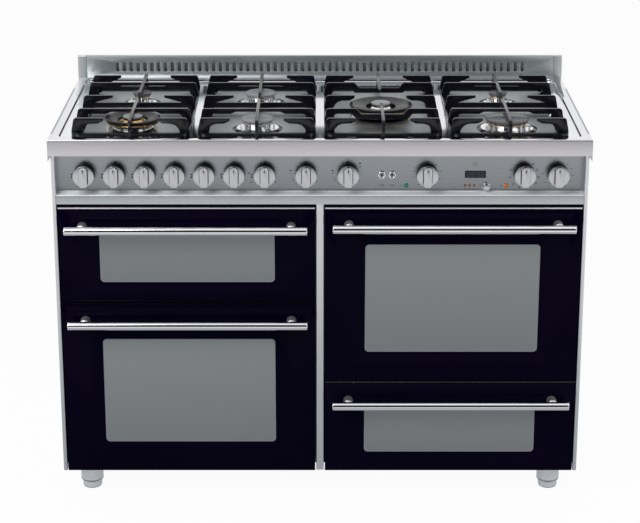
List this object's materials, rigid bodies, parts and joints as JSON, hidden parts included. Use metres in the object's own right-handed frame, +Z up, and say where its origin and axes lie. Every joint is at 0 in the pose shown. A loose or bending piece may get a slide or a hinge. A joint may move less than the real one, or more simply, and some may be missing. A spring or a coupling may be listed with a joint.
{
  "type": "range cooker",
  "caption": "Wide gas range cooker with drop-down glass oven doors, a storage drawer, knobs across its control panel and lift-off cast pan supports.",
  "frame": {"origin": "on the floor, under the middle of the overall box with doors and drawer closed", "axes": "+X to the right of somebody facing the cooker, -Y the front with doors and knobs, +Z up"},
  "size_m": [1.2, 0.638, 0.922],
  "materials": {
    "steel": "fine brushed",
    "polished": "polished",
    "inside_sheet": "vitreous enamel",
    "black_glass": "black printed tempered glass",
    "clear_glass": "clear",
    "cast": "satin black enamel",
    "cap_enamel": "grey enamel",
    "cup_alloy": "cast, bright",
    "knob": "satin",
    "brass": "plain",
    "seal": "matt",
    "lens": "clear tinted",
    "foot": "plated"
  },
  "bodies": {
    "cooker": {"hob_top": "steel", "upstand": "steel", "left_side_panel": "steel", "right_side_panel": "steel", "back_panel": "inside_sheet", "base_pan": "inside_sheet", "centre_divider": "steel", "control_panel": "steel", "grill_oven_liner": "inside_sheet", "left_oven_liner": "inside_sheet", "right_oven_liner": "inside_sheet", "door_seals": "seal", "oven_shelves": "polished", "heating_elements": "inside_sheet", "fan_housings": "steel", "drawer_runners": "steel", "burner_cups": "cup_alloy", "burner_caps": "cap_enamel", "indicator_lenses": "lens", "taps_and_switches": "brass"},
    "grill_door": {"grill_door_frame": "steel", "grill_door_glass": "black_glass", "grill_door_inner_glass": "clear_glass", "grill_door_handle": "polished"},
    "left_door": {"left_door_frame": "steel", "left_door_glass": "black_glass", "left_door_inner_glass": "clear_glass", "left_door_handle": "polished"},
    "right_door": {"right_door_frame": "steel", "right_door_glass": "black_glass", "right_door_inner_glass": "clear_glass", "right_door_handle": "polished"},
    "drawer": {"drawer_box": "steel", "drawer_glass": "black_glass", "drawer_handle": "polished"},
    "pan_support_1": {"pan_support_1": "cast"},
    "pan_support_2": {"pan_support_2": "cast"},
    "pan_support_3": {"pan_support_3": "cast"},
    "pan_support_4": {"pan_support_4": "cast"},
    "knob_1": {"knob_1": "knob"},
    "knob_2": {"knob_2": "knob"},
    "knob_3": {"knob_3": "knob"},
    "knob_4": {"knob_4": "knob"},
    "knob_5": {"knob_5": "knob"},
    "knob_6": {"knob_6": "knob"},
    "knob_7": {"knob_7": "knob"},
    "knob_8": {"knob_8": "knob"},
    "knob_9": {"knob_9": "knob"},
    "knob_10": {"knob_10": "knob"},
    "knob_11": {"knob_11": "knob"},
    "knob_12": {"knob_12": "knob"},
    "timer_knob": {"timer_knob": "knob"},
    "button_1": {"button_1": "knob"},
    "button_2": {"button_2": "knob"},
    "left_fan": {"left_fan": "steel"},
    "right_fan": {"right_fan": "steel"},
    "foot_1": {"foot_1": "foot"},
    "foot_2": {"foot_2": "foot"},
    "foot_3": {"foot_3": "foot"},
    "foot_4": {"foot_4": "foot"}
  },
  "joints": [
    {"name": "grill_door_hinge", "type": "hinge", "parent": "cooker", "child": "grill_door", "pos_m": [-0.2975, -0.264, 0.503], "axis": [1, 0, 0], "range_deg": [0, 90], "stiffness_Nm_per_rad": 1.6, "springref_deg": -17.19},
    {"name": "left_door_hinge", "type": "hinge", "parent": "cooker", "child": "left_door", "pos_m": [-0.2975, -0.264, 0.089], "axis": [1, 0, 0], "range_deg": [0, 90], "stiffness_Nm_per_rad": 5, "springref_deg": -11.46},
    {"name": "right_door_hinge", "type": "hinge", "parent": "cooker", "child": "right_door", "pos_m": [0.2975, -0.264, 0.312], "axis": [1, 0, 0], "range_deg": [0, 90], "stiffness_Nm_per_rad": 5, "springref_deg": -11.46},
    {"name": "drawer_slide", "type": "slide", "parent": "cooker", "child": "drawer", "axis": [0, -1, 0], "range_m": [0, 0.41]},
    {"name": "pan_support_1_lift", "type": "slide", "parent": "cooker", "child": "pan_support_1", "axis": [0, 0, 1], "range_m": [0, 0.15]},
    {"name": "pan_support_2_lift", "type": "slide", "parent": "cooker", "child": "pan_support_2", "axis": [0, 0, 1], "range_m": [0, 0.15]},
    {"name": "pan_support_3_lift", "type": "slide", "parent": "cooker", "child": "pan_support_3", "axis": [0, 0, 1], "range_m": [0, 0.15]},
    {"name": "pan_support_4_lift", "type": "slide", "parent": "cooker", "child": "pan_support_4", "axis": [0, 0, 1], "range_m": [0, 0.15]},
    {"name": "knob_1_turn", "type": "hinge", "parent": "cooker", "child": "knob_1", "pos_m": [-0.5246, -0.241, 0.777], "axis": [0, -1, 0], "range_deg": [0, 210]},
    {"name": "knob_2_turn", "type": "hinge", "parent": "cooker", "child": "knob_2", "pos_m": [-0.4571, -0.241, 0.777], "axis": [0, -1, 0], "range_deg": [0, 210]},
    {"name": "knob_3_turn", "type": "hinge", "parent": "cooker", "child": "knob_3", "pos_m": [-0.3898, -0.241, 0.777], "axis": [0, -1, 0], "range_deg": [0, 210]},
    {"name": "knob_4_turn", "type": "hinge", "parent": "cooker", "child": "knob_4", "pos_m": [-0.3237, -0.241, 0.777], "axis": [0, -1, 0], "range_deg": [0, 210]},
    {"name": "knob_5_turn", "type": "hinge", "parent": "cooker", "child": "knob_5", "pos_m": [-0.2575, -0.241, 0.777], "axis": [0, -1, 0], "range_deg": [0, 210]},
    {"name": "knob_6_turn", "type": "hinge", "parent": "cooker", "child": "knob_6", "pos_m": [-0.1909, -0.241, 0.777], "axis": [0, -1, 0], "range_deg": [0, 210]},
    {"name": "knob_7_turn", "type": "hinge", "parent": "cooker", "child": "knob_7", "pos_m": [-0.123, -0.241, 0.777], "axis": [0, -1, 0], "range_deg": [0, 210]},
    {"name": "knob_8_turn", "type": "hinge", "parent": "cooker", "child": "knob_8", "pos_m": [-0.031, -0.241, 0.777], "axis": [0, -1, 0], "range_deg": [-270, 0]},
    {"name": "knob_9_turn", "type": "hinge", "parent": "cooker", "child": "knob_9", "pos_m": [0.0627, -0.241, 0.777], "axis": [0, -1, 0], "range_deg": [-270, 0]},
    {"name": "knob_10_turn", "type": "hinge", "parent": "cooker", "child": "knob_10", "pos_m": [0.2387, -0.241, 0.777], "axis": [0, -1, 0], "range_deg": [-270, 0]},
    {"name": "knob_11_turn", "type": "hinge", "parent": "cooker", "child": "knob_11", "pos_m": [0.455, -0.241, 0.777], "axis": [0, -1, 0], "range_deg": [-270, 0]},
    {"name": "knob_12_turn", "type": "hinge", "parent": "cooker", "child": "knob_12", "pos_m": [0.5297, -0.241, 0.777], "axis": [0, -1, 0], "range_deg": [-270, 0]},
    {"name": "timer_knob_turn", "type": "hinge", "parent": "cooker", "child": "timer_knob", "pos_m": [0.3708, -0.241, 0.7474], "axis": [0, -1, 0], "range_deg": [-150, 150]},
    {"name": "button_1_press", "type": "slide", "parent": "cooker", "child": "button_1", "axis": [0, 1, 0], "range_m": [0, 0.003], "stiffness_N_per_m": 200, "springref_m": -0.003},
    {"name": "button_2_press", "type": "slide", "parent": "cooker", "child": "button_2", "axis": [0, 1, 0], "range_m": [0, 0.003], "stiffness_N_per_m": 200, "springref_m": -0.003},
    {"name": "left_fan_spin", "type": "hinge", "parent": "cooker", "child": "left_fan", "pos_m": [-0.2975, 0.171, 0.2835], "axis": [0, 1, 0], "continuous": true},
    {"name": "right_fan_spin", "type": "hinge", "parent": "cooker", "child": "right_fan", "pos_m": [0.2975, 0.171, 0.51], "axis": [0, 1, 0], "continuous": true},
    {"name": "foot_1_adjust", "type": "slide", "parent": "cooker", "child": "foot_1", "axis": [0, 0, -1], "range_m": [0, 0.035]},
    {"name": "foot_2_adjust", "type": "slide", "parent": "cooker", "child": "foot_2", "axis": [0, 0, -1], "range_m": [0, 0.035]},
    {"name": "foot_3_adjust", "type": "slide", "parent": "cooker", "child": "foot_3", "axis": [0, 0, -1], "range_m": [0, 0.035]},
    {"name": "foot_4_adjust", "type": "slide", "parent": "cooker", "child": "foot_4", "axis": [0, 0, -1], "range_m": [0, 0.035]}
  ]
}
